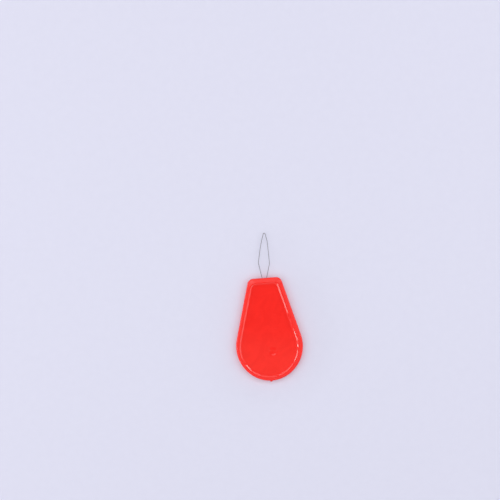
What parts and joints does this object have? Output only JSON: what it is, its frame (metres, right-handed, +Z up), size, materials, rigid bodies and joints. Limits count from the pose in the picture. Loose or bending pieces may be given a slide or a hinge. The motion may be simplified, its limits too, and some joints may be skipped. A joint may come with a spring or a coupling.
{
  "type": "needle threader",
  "caption": "Flat teardrop plastic handle with a raised rim on each face and a fine diamond-shaped wire loop that carries thread through a needle's eye.",
  "frame": {"origin": "under the middle of the overall length, on the plane that the rim of the back face rests on", "axes": "+Z up through the front face, +Y along the handle towards the tip of the wire loop, +X across the handle"},
  "size_m": [0.0224, 0.05, 0.0022],
  "materials": {
    "handle_plastic": "glossy moulded red plastic",
    "spring_wire": "drawn bright spring steel"
  },
  "bodies": {
    "root": {"handle": "handle_plastic", "wire_loop": "spring_wire"}
  },
  "joints": []
}
